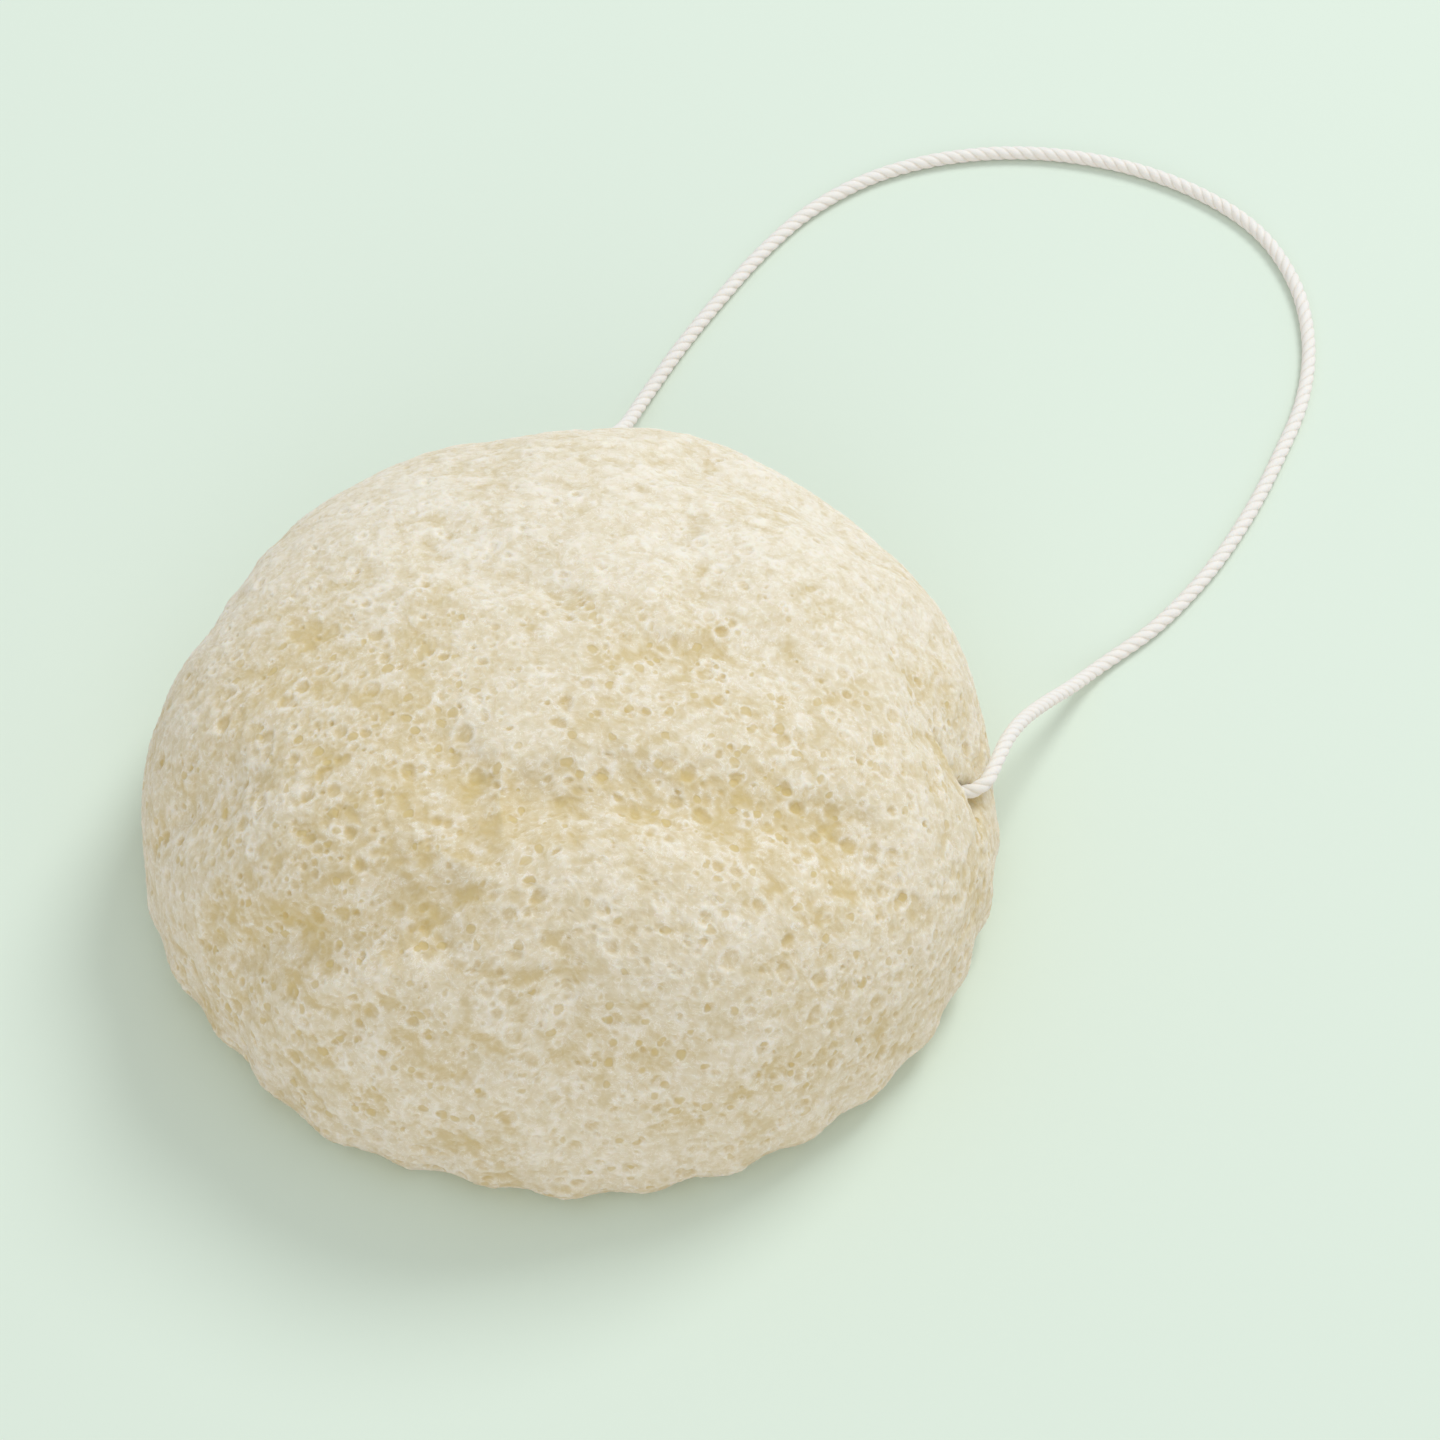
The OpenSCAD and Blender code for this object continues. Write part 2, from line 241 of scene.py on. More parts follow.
def twistedString(name, points, plan, columns):
    # a profile carried along the route: its radius is the groove's plus a rounded lobe for each
    # ply, and it turns once round for each lay length, so that the lobes run as plies. It gives
    # back the mesh, the middle line and its length.
    centres, along = smoothRoute(points, plan["ringGap"])
    forward = np.gradient(centres, axis=0)
    forward /= np.linalg.norm(forward, axis=1)[:, None]
    side = np.cross(forward, (0, 0, 1))
    side /= np.linalg.norm(side, axis=1)[:, None]
    up = np.cross(side, forward)
    rings, n = len(centres), plan["aroundPoints"]
    angle = np.arange(n) * 2 * math.pi / n
    lobe = np.abs(np.cos(angle * plan["plies"] / 2)) ** plan["lobePower"]
    radius = plan["diameter"] / 2 - plan["groove"] * (1 - lobe)
    turned = angle[None, :] - along[:, None] * 2 * math.pi / plan["layLength"]
    corners = centres[:, None, :] + radius[None, :, None] * (
        np.cos(turned)[..., None] * side[:, None, :] + np.sin(turned)[..., None] * up[:, None, :])
    corners = np.concatenate([corners.reshape(-1, 3), centres[:1], centres[-1:]])
    ring, k = gridPairs(np.arange(rings - 1), np.arange(n))
    after, here, ahead = (k + 1) % n, ring * n, (ring + 1) * n
    quads = np.stack([here + k, ahead + k, ahead + after, here + after], axis=1)
    spoke, nextSpoke, last = np.arange(n), (np.arange(n) + 1) % n, (rings - 1) * n
    caps = np.concatenate([
        np.stack([spoke, nextSpoke, np.full(n, rings * n)], axis=1),
        np.stack([last + nextSpoke, last + spoke, np.full(n, rings * n + 1)], axis=1)])
    mesh = meshFromArrays(name, corners, quads, caps)
    # plyUv: across a ply and along the string in mm, for the yarn's own fibres
    across = np.stack([k, k, k + 1, k + 1], axis=1) / n
    down = np.stack([along[ring], along[ring + 1], along[ring + 1], along[ring]], axis=1)
    quadUv = np.stack([across * plan["plies"], down], axis=2).reshape(-1, 2)
    addUv(mesh, "plyUv", np.concatenate([quadUv, np.zeros((len(caps) * 3, 2))]))
    # the bake's map folds the long strip into columns side by side
    reach = along[-1] / columns
    column = np.minimum(np.floor(along[ring] / reach), columns - 1)[:, None]
    (beside, wide), (below, tall) = plan["bakeAcross"], plan["bakeDown"]
    folded = np.stack([(column + beside + wide * across) / columns,
                       below + tall * (down - column * reach) / reach], axis=2)
    capUv = np.full((len(caps) * 3, 2), plan["bakeCap"])
    addUv(mesh, "OFBake", np.concatenate([folded.reshape(-1, 2), capUv]))
    addValue(mesh, "plyCrown", np.concatenate([np.tile(lobe, rings), [0, 0]]))
    return mesh, centres, along[-1]


def addNode(tree, kind, inputs=None, **settings):
    # a node whose inputs are given as numbers, colours or the sockets that feed them
    node = tree.nodes.new(kind)
    for key, value in settings.items():
        setattr(node, key, value)
    for key, value in (inputs or {}).items():
        if isinstance(value, bpy.types.NodeSocket):
            tree.links.new(value, node.inputs[key])
        else:
            node.inputs[key].default_value = value
    return node


def maths(tree, kind, first, second=0.0):
    return addNode(tree, "ShaderNodeMath", {0: first, 1: second}, operation=kind).outputs[0]


def mixColour(tree, share, first, second):
    return addNode(tree, "ShaderNodeMix", {0: share, 6: first, 7: second},
                   data_type="RGBA").outputs[2]


def span(tree, value, low, high, toLow=0.0, toHigh=1.0):
    # the value's way from low to high, eased, as a way from toLow to toHigh
    return addNode(tree, "ShaderNodeMapRange", {0: value, 1: low, 2: high, 3: toLow, 4: toHigh},
                   interpolation_type="SMOOTHSTEP").outputs[0]


def attributeNode(tree, name):
    return addNode(tree, "ShaderNodeAttribute", attribute_name=name).outputs["Fac"]


def srgb(red, green, blue):
    # a colour read from a screen, 0 to 255, as the linear colour that nodes take
    shares = np.array([red, green, blue]) / 255
    linear = np.where(shares <= 0.04045, shares / 12.92, ((shares + 0.055) / 1.055) ** 2.4)
    return (*linear, 1.0)


grainPlan = {
    "sockets": (("Fibre Scale", 900.0), ("Speck Scale", 2600.0), ("Distortion", 1.2)),
    "threadHalf": 0.11,       # a thread's half width, in the noise's own height
    "threadShare": 0.6, "speckShare": 0.4,
}


def makeGrainGroup(plan):
    # fine fibres and specks: a warped noise folded into threads, and a smaller round one for specks
    tree = bpy.data.node_groups.new("fibreGrain", "ShaderNodeTree")
    tree.interface.new_socket("Place", in_out="INPUT", socket_type="NodeSocketVector")
    for label, value in plan["sockets"]:
        socket = tree.interface.new_socket(label, in_out="INPUT", socket_type="NodeSocketFloat")
        socket.default_value = value
    for label in ("Height", "Thread"):
        tree.interface.new_socket(label, in_out="OUTPUT", socket_type="NodeSocketFloat")
    given = addNode(tree, "NodeGroupInput").outputs
    fibres = addNode(tree, "ShaderNodeTexNoise", {
        "Vector": given["Place"], "Scale": given["Fibre Scale"], "Detail": 4.0, "Roughness": 0.62,
        "Distortion": given["Distortion"]})
    specks = addNode(tree, "ShaderNodeTexNoise", {
        "Vector": given["Place"], "Scale": given["Speck Scale"], "Detail": 2.0, "Roughness": 0.6})
    folded = maths(tree, "ABSOLUTE", maths(tree, "SUBTRACT", fibres.outputs[0], 0.5))
    thread = span(tree, folded, 0.0, plan["threadHalf"], 1.0, 0.0)
    height = maths(tree, "ADD", maths(tree, "MULTIPLY", thread, plan["threadShare"]),
                   maths(tree, "MULTIPLY", specks.outputs[0], plan["speckShare"]))
    addNode(tree, "NodeGroupOutput", {"Height": height, "Thread": thread})
    return tree


fibreGrain = makeGrainGroup(grainPlan)


def newMaterial(name):
    material = bpy.data.materials.new(name)
    material.use_nodes = True
    material.node_tree.nodes.clear()
    return material, material.node_tree


def grainNode(tree, place, fibreScale, speckScale, distortion):
    node = addNode(tree, "ShaderNodeGroup", {
        "Place": place, "Fibre Scale": fibreScale, "Speck Scale": speckScale,
        "Distortion": distortion}, node_tree=fibreGrain)
    return node.outputs["Height"], node.outputs["Thread"]


cottonPlan = {
    "crown": srgb(247, 245, 240),
    # the groove colour between the plies is darker than the crowns: painted shade
    "groove": srgb(240, 236, 227),
    "fibre": srgb(253, 252, 249),
    "crownSpan": (0.1, 0.7),           # heights of a ply over which groove turns to crown
    "yarnSpan": (0.52, 0.68, 0.0, 0.6),     # yarn noise over which light fibres show, and how much
    # a ply's own fibres: their lean in radians and how often they come, across and along
    "fibreLean": 0.12, "fibreScale": (14.0, 2.2, 1.0),
    "grain": (1500.0, 5200.0, 1.6),
    "yarnRelief": 0.75, "grainRelief": 0.25, "bump": 0.00004,
    "roughness": (0.72, 0.86),
    "shine": {"Specular IOR Level": 0.25, "Sheen Weight": 0.25, "Sheen Roughness": 0.5},
    "glow": {"Subsurface Weight": 0.4, "Subsurface Radius": (1.0, 0.9, 0.8),
             "Subsurface Scale": 0.0005},
}


def makeCotton(plan):
    material, tree = newMaterial("twistedCotton")
    uv = addNode(tree, "ShaderNodeUVMap", uv_map="plyUv").outputs[0]
    # fibres of one ply run along it and lean a little against the twist
    lean = addNode(tree, "ShaderNodeMapping", {
        "Vector": uv, "Rotation": (0, 0, plan["fibreLean"]), "Scale": plan["fibreScale"]})
    yarn = addNode(tree, "ShaderNodeTexNoise", {
        "Vector": lean.outputs[0], "Scale": 1.0, "Detail": 4.0, "Roughness": 0.6,
        "Distortion": 0.6}).outputs[0]
    place = addNode(tree, "ShaderNodeTexCoord").outputs["Object"]
    height, thread = grainNode(tree, place, *plan["grain"])
    # painted shade: the colour darkens from the ply's crown down into the groove
    crown = span(tree, attributeNode(tree, "plyCrown"), *plan["crownSpan"])
    colour = mixColour(tree, crown, plan["groove"], plan["crown"])
    colour = mixColour(tree, span(tree, yarn, *plan["yarnSpan"]), colour, plan["fibre"])
    relief = maths(tree, "ADD", maths(tree, "MULTIPLY", yarn, plan["yarnRelief"]),
                   maths(tree, "MULTIPLY", height, plan["grainRelief"]))
    bump = addNode(tree, "ShaderNodeBump", {
        "Height": relief, "Distance": plan["bump"], "Strength": 1.0})
    shader = addNode(tree, "ShaderNodeBsdfPrincipled", {
        "Base Color": colour, "Roughness": span(tree, thread, 0.0, 1.0, *plan["roughness"]),
        "Normal": bump.outputs[0], **plan["shine"], **plan["glow"]})
    addNode(tree, "ShaderNodeOutputMaterial", {"Surface": shader.outputs[0]})
    return material


cotton = makeCotton(cottonPlan)

loopLifted = [(x, y, max(z, 0) + stringPlan["lift"]) for x, y, z in loopRoute]
loopMesh, loopCentres, loopLength = twistedString(
    "string_loop_twisted", loopLifted, stringPlan, stringPlan["loopColumns"])
loopCentres[:, 2] = np.maximum(loopCentres[:, 2], stringPlan["lift"])
stringLoop = placePiece("string_loop_twisted", loopMesh, cotton, "string", "cotton_string",
                        "string_loop")


def innerString(name, bight, lead, *nodes):
    # the stretch in the channel, which is straight, and then the knot's bight
    thick = stringPlan["diameter"]
    inside = [(x * thick, y * thick + channelOff, z * thick + channelHeight) for x, y, z in bight]
    start = [(along, channelOff, channelHeight) for along in (lead, (lead + inside[0][0]) / 2)]
    mesh = twistedString(name, start + inside, stringPlan, stringPlan["innerColumns"])[0]
    placePiece(name, mesh, cotton, "string", "cotton_string", *nodes)


innerString("string_knot_left", leftBight, -stringPlan["runEnd"],
            "string_run_left", "knot_left_bight")
innerString("string_knot_right", rightBight, stringPlan["runEnd"],
            "string_run_right", "knot_right_bight")
print("string laid, free length in mm", round(loopLength, 1))

puffPlan = {
    # sizes in mm, and the shares of the way from the top to the foot
    "width": 80.0, "height": 34.5, "waist": 4.0, "footIn": 2.5,
    "crownPower": 2.5, "waistShare": 0.92,
    "scallops": 32, "scallopDepth": 0.7, "scallopFade": 6.0,
    "creaseDepth": 2.2, "creaseWidth": 2.6, "lumpHeight": 1.2, "lumpWidth": 7.0,
    "valleyWidth": 4.0,
    # creases and valleys wander: size in mm, layers, and reach on the flattened dome
    "wander": (6.0, 3), "wanderReach": 0.045, "valleyWander": 1.5,
    "dentDepth": 3.0, "dentWidth": 7.0, "dentHeight": 17.5,
    # the lip on the near side of the right mouth: the share of the dent left there, its place past
    # the channel in mm, and its width beside the string and for each mm above or below it
    "lipShare": 0.15, "lipAt": 0.2, "lipBlend": (0.5, 0.4),
    "channelHalf": 24.7, "channelRadius": 0.75, "mouthRound": 2.0, "pitFall": 0.48,
    # the pit: how far behind the mouth it ends, where its walls start, how steeply they rise, how
    # they wander, how softly they meet the dome, from which x it holds, and over how far a place
    # counts as inside it
    "pitBack": 0.15, "pitWall": 0.85, "pitSlope": 14.0, "pitWander": 0.15, "pitWanderSize": 1.3,
    "pitSoft": 0.45, "pitFrom": 15.0, "pitFade": 1.5,
    "holeRadius": 1.0, "holeDepth": 0.8,
    "gridCells": 640,      # across the dome's square grid, an even number
    "ringPower": 0.88,        # draws the rings a little closer together towards the foot
    "blurShares": (130, 42),  # cells across the grid over the reach of the small and the wide blur
    # how sunk a place is, from 0 to about 1, for the colours: painted shade, darker and yellower in
    # pits, creases and valleys and lighter on lumps, with the foam's own yellow
    "recessTintAndShade": {"base": 0.38, "small": 0.42, "wide": 0.34, "crease": 0.42, "lump": 0.10, "tan": 0.4},
    # closedRecess: the recess's share where the foam is closed; valleyWhite: the whiteness that the
    # valleys of painted shade take
    "closedRecess": 0.35, "valleyWhite": 0.25,
    "mouthCalm": 0.5, "footCalm": (0.3, 3.0),     # where the pores are shallower
    # the flat face: where its foam is read, its sinking in mm, its edge's fade and its recess,
    # whose painted shade darkens and yellows its pits
    "faceLevel": 3.0, "faceSink": 0.15, "faceFade": 9.0, "faceRecess": (0.36, 0.5),
}
# creases on the flattened dome: from x, y to x, y, and the share of the full depth
creaseShares = np.array([
    (0.18, -0.26, 0.34, -0.11, 1), (0.34, -0.11, 0.54, 0.09, 0.9),
    (-0.10, -0.74, 0.19, -0.49, 0.8), (0.16, -0.36, 0.02, -0.30, 0.5),
    (-0.26, -0.52, -0.36, -0.58, 0.8), (0.18, -0.68, 0.34, -0.62, 0.6),
    (0.60, -0.34, 0.46, -0.44, 0.5), (0.14, 0.10, 0.24, 0.24, 0.5),
    (-0.10, 0.06, -0.30, 0.02, 0.4), (-0.42, 0.20, -0.60, 0.42, 0.15),
    (-0.18, 0.46, 0.08, 0.60, 0.7), (-0.74, -0.10, -0.66, -0.30, 0.6),
    (-0.05, 0.30, 0.10, 0.26, 0.4), (0.30, 0.52, 0.44, 0.40, 0.5),
])
# lumps on the flattened dome: x, y and the share of the full height
lumpShares = np.array([
    (0.36, -0.26, 0.9), (0.52, -0.10, 0.6), (0.04, -0.18, 0.4), (-0.33, -0.26, -0.8),
    (-0.10, -0.52, 0.6), (0.24, -0.56, 0.5), (-0.52, -0.52, 0.5), (-0.62, 0.10, -0.1),
    (-0.30, 0.62, 0.6), (0.10, 0.40, 0.5), (0.62, 0.24, 0.4), (-0.45, 0.45, 0.5),
    (0.22, 0.72, 0.5), (0.66, -0.46, -0.4), (-0.13, -0.93, -0.8), (0.46, -0.84, -0.8),
    (0.86, 0.42, -0.4),
])
# valleys of painted shade on the flattened dome, only coloured and with no relief: from x, y to x,
# y, and the share of the full painted shade
paintedValleyShares = np.array([
    (-0.08, -0.37, 0.01, -0.46, 0.8), (0.01, -0.46, 0.11, -0.42, 0.7),
    (-0.38, -0.27, -0.28, -0.34, 0.85), (0.05, -0.37, 0.22, -0.38, 0.5),
    (0.40, -0.03, 0.50, 0.02, 0.4), (-0.24, -0.25, -0.14, -0.26, 0.7),
    (-0.10, -0.60, -0.04, -0.58, 0.5), (0.60, -0.08, 0.68, -0.10, 0.5),
    (0.14, -0.02, 0.32, 0.09, 0.4),
])


def bell(gap, halfWidth):
    # one at the middle, falling off as the square of the gap over the half width
    return np.exp(-(gap / halfWidth) ** 2)


def squareToDisc(cells):
    # each ring of a square grid becomes a circle: the ring is its share of the way out, and the
    # turn goes evenly along its four sides
    u, v = gridPairs(np.linspace(-1, 1, cells + 1), np.linspace(-1, 1, cells + 1))
    wide = np.abs(u) >= np.abs(v)
    ring = np.maximum(np.abs(u), np.abs(v))
    safe = np.where(ring == 0, 1, ring)
    across = np.where(wide, v, u) / safe * np.where(wide, np.sign(u), np.sign(v))
    turn = np.where(wide, across * math.pi / 4, math.pi / 2 - across * math.pi / 4)
    turn = turn + np.where(np.where(wide, u, v) < 0, math.pi, 0)
    return ring, turn


def plainDome(q, turn, plan):
    # q is the way out from the top to the foot. Crown: a superellipse from the top to the waist, by
    # angle above the waist. Foot: from the waist down to the table, drawn in by the square of the
    # way down.
    radius, crown, power = plan["width"] / 2, plan["height"] - plan["waist"], plan["crownPower"]
    angle = math.pi / 2 * (1 - np.minimum(1, q / plan["waistShare"]))
    reach = ((np.abs(np.cos(angle)) / radius) ** power
             + (np.abs(np.sin(angle)) / crown) ** power) ** (-1 / power)
    up = (1 - q) / (1 - plan["waistShare"])
    inCrown = q <= plan["waistShare"]
    r = np.where(inCrown, reach * np.cos(angle), radius - plan["footIn"] * (1 - up) ** 2)
    z = np.where(inCrown, plan["waist"] + reach * np.sin(angle), plan["waist"] * up)
    return np.stack([r * np.cos(turn), r * np.sin(turn), z], axis=1)


def outwardFrom(places, plan):
    # away from the middle of the waist, and level below it
    arm = places * 1.0
    arm[:, 2] = np.maximum(0, arm[:, 2] - plan["waist"])
    return arm / np.maximum(np.linalg.norm(arm, axis=1), 1e-9)[:, None]


def alongLines(flat, lines, radius, halfWidth):
    # the strongest of the lines here, each a bell across a straight stretch
    strongest = np.zeros(len(flat))
    for x0, y0, x1, y1, share in lines:
        start, step = np.array([x0, y0]), np.array([x1 - x0, y1 - y0])
        along = np.clip(((flat - start) @ step) / (step @ step), 0, 1)
        gap = np.linalg.norm(flat - start - along[:, None] * step, axis=1) * radius
        strongest = np.maximum(strongest, share * bell(gap, halfWidth))
    return strongest


def shapedDome(q, turn, plan):
    # the plain dome, moved outwards by a bell for each lump and a cosine round the foot for the
    # scallops, and inwards by a bell across each crease and round the string's mouths. It gives
    # back the places, and how much of a crease, a lump and a valley of painted shade each has.
    plain, radius = plainDome(q, turn, plan), plan["width"] / 2
    flat = q[:, None] * np.stack([np.cos(turn), np.sin(turn)], axis=1)
    wander = np.stack([layeredField(plain, *plan["wander"], 50 + k) for k in range(2)], axis=1)
    wander = wander * plan["wanderReach"]
    dip = alongLines(flat + wander, creaseShares, radius, plan["creaseWidth"])
    tan = alongLines(flat + wander * plan["valleyWander"], paintedValleyShares, radius,
                     plan["valleyWidth"])
    lumps = sum(share * bell(np.linalg.norm(flat - (x, y), axis=1) * radius, plan["lumpWidth"])
                for x, y, share in lumpShares)
    rim = np.cos(plan["scallops"] * turn) * bell(plain[:, 2], plan["scallopFade"])
    rim = rim * plan["scallopDepth"] / 2
    mouth = np.stack([np.abs(plain[:, 0]) - plan["channelHalf"] - plan["mouthRound"],
                      plain[:, 1] - channelOff, plain[:, 2] - plan["dentHeight"]], axis=1)
    dent = bell(np.linalg.norm(mouth, axis=1), plan["dentWidth"])
    # the right mouth has a higher lip on its near side, sharpest beside the string
    narrow, spread = plan["lipBlend"]
    blend = narrow + spread * np.abs(plain[:, 2] - channelHeight)
    lip = plan["lipShare"] + (1 - plan["lipShare"]) * riseAt(mouth[:, 1], plan["lipAt"], blend)
    dent = dent * np.where(plain[:, 0] > 0, lip, 1)
    swell = plan["lumpHeight"] * lumps - plan["creaseDepth"] * dip + rim - plan["dentDepth"] * dent
    return plain + outwardFrom(plain, plan) * swell[:, None], dip, lumps, tan


def openMouths(places, plan):
    # round each mouth x is held back to the pit: its floor rounds over from the channel on a
    # quarter circle and then falls away evenly, over the quarter turn through which the string
    # swings, and its walls rise steeply on the other sides. The lower of the dome and the pit is
    # taken, softened by the logarithm of their summed powers. It also gives back how far each
    # place was moved, from 0 to 1.
    across, y, z = np.abs(places[:, 0]), places[:, 1] - channelOff, places[:, 2] - channelHeight
    radius = np.hypot(np.maximum(y, 0), np.maximum(z, 0))
    astray = np.hypot(np.minimum(y, 0), np.minimum(z, 0))
    bend, start = plan["mouthRound"], plan["channelRadius"]
    turned = np.clip(radius - start, 0, bend)
    floor = np.sqrt(bend ** 2 - (bend - turned) ** 2)
    floor = floor - plan["pitFall"] * np.maximum(0, radius - start - bend)
    hole = np.clip(plan["holeRadius"] - np.hypot(y, z), 0, 1) * plan["holeDepth"]
    wander = plan["pitWander"] * smoothField(places, plan["pitWanderSize"], 91)
    wall = plan["pitSlope"] * np.maximum(0, astray - plan["pitWall"] - wander)
    held = plan["channelHalf"] - plan["pitBack"] + floor - hole + wall
    soft = plan["pitSoft"]
    kept = -soft * np.logaddexp(-across / soft, -held / soft)
    kept = np.where(across > plan["pitFrom"], kept, across)
    moved = places * 1.0
    moved[:, 0] = np.sign(places[:, 0]) * kept
    return moved, np.clip((across - kept) / plan["pitFade"], 0, 1)


def gridNormals(grid):
    # the cross product of the steps along the grid's two ways
    n = np.cross(np.gradient(grid, axis=0), np.gradient(grid, axis=1))
    return n / np.maximum(np.linalg.norm(n, axis=2), 1e-12)[..., None]


def blurGrid(values, reach):
    # running mean over a square of cells, done twice
    for _ in range(2):
        for axis in (0, 1):
            wide = np.concatenate([np.take(values, [0] * reach, axis), values,
                                   np.take(values, [-1] * reach, axis)], axis)
            total = np.cumsum(wide, axis)
            zero = np.zeros_like(np.take(total, [0], axis))
            total = np.concatenate([zero, total], axis)
            size = 2 * reach + 1
            high = np.take(total, np.arange(size, total.shape[axis]), axis)
            low = np.take(total, np.arange(0, total.shape[axis] - size), axis)
            values = (high - low) / size
    return values


foamPlan = {
    # bubbles, large and small, in mm: the cells they are spread over, their smallest and largest
    # radius, the share of cells that holds one, and the depth at which they level off
    "bubbles": [
        {"cell": 2.4, "low": 0.4, "high": 1.15, "kept": 0.9, "level": 0.2, "seed": 101},
        {"cell": 1.45, "low": 0.25, "high": 0.68, "kept": 0.9, "level": 0.12, "seed": 201},
    ],
    "bubbleWall": 0.55,                   # mm over which a bubble's side falls
    "bubbleInset": 0.1,                   # share of a cell kept clear of bubble middles
    "bubbleSteepest": 0.6,                # share of a radius that its side may take
    "bubbleSpread": 1.6,                  # higher makes fewer large ones
    "closedBubbles": 0.35,                # share of them that stays where the foam is closed
    "rimWidth": (0.08, 0.1), "rimShare": (0.3, 0.8), "rimOutside": 0.1,
    "webCell": 1.3, "webHalf": 0.2,       # mm of the cells whose walls stand up, and half a wall
    # bends of space, each by its size and reach in mm and its seed
    "hollowBend": (3.6, 1.6, 11), "cloudBends": ((3.0, 1.2, 500), (0.9, 0.35, 540)),
    "bubbleBend": (1.6, 0.35, 71), "fineBend": (0.5, 0.16, 560),
    # smooth fields, each by its size in mm, its layers, its seed and how fast the layers fade
    "hollowField": (4.0, 3, 21, 0.65), "cloudField": (3.0, 3, 611, 0.65),
    "patchField": (1.1, 2, 641, 0.6), "fuzzField": (0.33, 2, 661, 0.7),
    # hollows and clouds are drawn out across the view, and a hollow starts and ends at these levels
    "hollowStretch": (0.66, 1, 1.05), "cloudStretch": (0.85, 1, 1), "hollowLevels": (0.02, 0.55),
    "usual": {"cloud": 0.3, "patch": 0.3, "fuzz": 0.35},      # usual height of a field
    "webSeed": 801, "webPatch": (0.7, 0.5, 1.3),    # how far the patches strengthen the white web
    # heights in mm, and the share of the web and hollows where the foam is closed
    "height": {"web": 0.04, "rim": 0.04, "hollow": 0.22, "cloud": 0.025, "patch": 0.025,
               "fuzz": 0.015},
    "closedHeight": 0.4,
    # how white the foam is; the hollows take some of it as painted shade
    "white": {"base": 0.17, "cloud": 0.11, "patch": 0.09, "fuzz": 0.12, "rim": 0.45, "hollow": 0.26,
              "wall": 0.14},
    # clouding: random tone from clouds and patches, and painted shade from the bubbles' depth and
    # the hollows
    "cloudingAndShade": {"cloud": 0.05, "patch": 0.03, "depth": 0.75, "hollow": 0.2},
    # the foam closes past these places, away from the view and above the table, in mm
    "backAt": 6.0, "backBlend": 5.0, "topAt": 14.0, "topBlend": 4.0, "closing": 0.6,
}


def openness(places, plan):
    # how open the foam is: most on the near and lower sides, least on top of the back
    away = (places[:, 1] - places[:, 0]) * math.sqrt(0.5)
    back = riseAt(away, plan["backAt"], plan["backBlend"])
    top = riseAt(places[:, 2], plan["topAt"], plan["topBlend"])
    return 1 - plan["closing"] * back * top


farOff = 9.0      # mm, more than any gap that counts


def cutBubbles(places, inward, layer, plan):
    # a bubble at an uneven point of each cell of space: a place inside one sinks towards the
    # bubble's far wall, eased over its edge, and the gap to the nearest skin is kept for the rim
    cell = np.floor(places / layer["cell"]).astype(np.int64)
    depth, edge = np.zeros(len(places)), np.full(len(places), farOff)
    wall, few, inset = plan["bubbleWall"], plan["closedBubbles"], plan["bubbleInset"]
    for step in itertools.product((-1, 0, 1), repeat=3):
        here = cell + np.array(step)
        point = latticePoint(here, layer["seed"])
        middle = (here + inset + (1 - 2 * inset) * point) * layer["cell"]
        opened = openness(middle, plan)
        spread = latticeShare(here, layer["seed"] + 3) ** plan["bubbleSpread"]
        size = layer["low"] + (layer["high"] - layer["low"]) * spread * opened
        share = layer["kept"] * (few + (1 - few) * opened)
        held = latticeShare(here, layer["seed"] + 4) < share
        to = middle - places
        gap = np.linalg.norm(to, axis=1)
        ahead = (to * inward).sum(axis=1)
        side = np.minimum(wall, size * plan["bubbleSteepest"])
        into = np.clip((size - gap) / side, 0, 1)
        far = ahead + np.sqrt(np.maximum(0, ahead * ahead + size * size - gap * gap))
        far = layer["level"] * np.tanh(far / layer["level"]) * into * into * (3 - 2 * into)
        depth = np.where(held, np.maximum(depth, far), depth)
        edge = np.where(held, np.minimum(edge, np.abs(gap - size)), edge)
    return depth, edge


def wallGap(places, size, seed):
    # the gap between the nearest and the second nearest of uneven points, which is zero on the
    # walls that part their cells
    cell = np.floor(places / size).astype(np.int64)
    nearest, second = np.full(len(places), farOff), np.full(len(places), farOff)
    for step in itertools.product((-1, 0, 1), repeat=3):
        here = cell + np.array(step)
        gap = np.linalg.norm((here + latticePoint(here, seed)) * size - places, axis=1)
        second = np.minimum(second, np.maximum(nearest, gap))
        nearest = np.minimum(nearest, gap)
    return second - nearest


